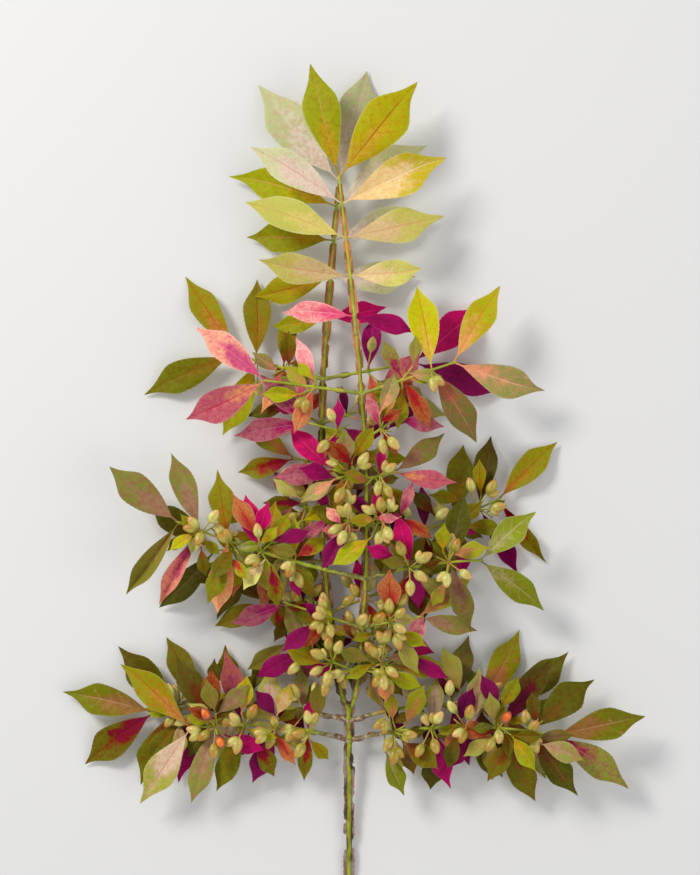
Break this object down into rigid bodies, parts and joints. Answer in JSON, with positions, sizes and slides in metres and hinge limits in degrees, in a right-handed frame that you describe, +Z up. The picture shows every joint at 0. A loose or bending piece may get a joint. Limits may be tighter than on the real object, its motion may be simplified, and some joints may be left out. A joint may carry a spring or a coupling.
{
  "type": "cut burning bush branch",
  "caption": "Cut branch of burning bush, lying flat: a forked, corky-winged stem with opposite sprays of pointed leaves in autumn tints and stalked seed capsules.",
  "frame": {"origin": "on the table, under the middle of the whole branch's bounding box", "axes": "+Y along the branch from the cut end of the stem to the top leaves, +X to the right seen from above, +Z up from the table that it lies on"},
  "size_m": [0.293, 0.4208, 0.0403],
  "materials": {
    "winged_bark": "matt, corky wings beside a green-brown bark",
    "green_bark": "satin young green bark",
    "olive_foliage": "satin leaf, olive and pale sage",
    "rose_foliage": "satin leaf, rose and magenta",
    "seed_capsules": "satin, olive-yellow"
  },
  "bodies": {
    "root": {"front_bough_1_left": "green_bark", "front_bough_1_right": "green_bark", "front_bough_4_left": "green_bark", "front_bough_4_right": "green_bark", "front_bough_8_left": "green_bark", "front_bough_8_right": "green_bark", "front_leader": "winged_bark", "front_spray_1_left": "olive_foliage", "front_spray_1_right": "olive_foliage", "front_spray_2_left": "rose_foliage", "front_spray_2_right": "rose_foliage", "front_spray_3_left": "olive_foliage", "front_spray_3_right": "olive_foliage", "front_spray_4_left": "olive_foliage", "front_spray_4_right": "olive_foliage", "front_spray_5_left": "rose_foliage", "front_spray_5_right": "rose_foliage", "front_spray_6_left": "rose_foliage", "front_spray_6_right": "rose_foliage", "front_spray_7_left": "rose_foliage", "front_spray_7_right": "rose_foliage", "front_spray_8_left": "olive_foliage", "front_spray_8_right": "olive_foliage", "front_top_spray": "olive_foliage", "main_stem": "winged_bark", "rear_bough_1_left": "green_bark", "rear_bough_1_right": "green_bark", "rear_bough_4_left": "green_bark", "rear_bough_4_right": "green_bark", "rear_bough_8_left": "green_bark", "rear_bough_8_right": "green_bark", "rear_leader": "winged_bark", "rear_spray_1_left": "olive_foliage", "rear_spray_1_right": "olive_foliage", "rear_spray_2_left": "rose_foliage", "rear_spray_2_right": "rose_foliage", "rear_spray_3_left": "olive_foliage", "rear_spray_3_right": "olive_foliage", "rear_spray_4_left": "olive_foliage", "rear_spray_4_right": "olive_foliage", "rear_spray_5_left": "rose_foliage", "rear_spray_5_right": "rose_foliage", "rear_spray_6_left": "rose_foliage", "rear_spray_6_right": "rose_foliage", "rear_spray_7_left": "rose_foliage", "rear_spray_7_right": "rose_foliage", "rear_spray_8_left": "olive_foliage", "rear_spray_8_right": "olive_foliage", "rear_top_spray": "olive_foliage"}
  },
  "joints": []
}
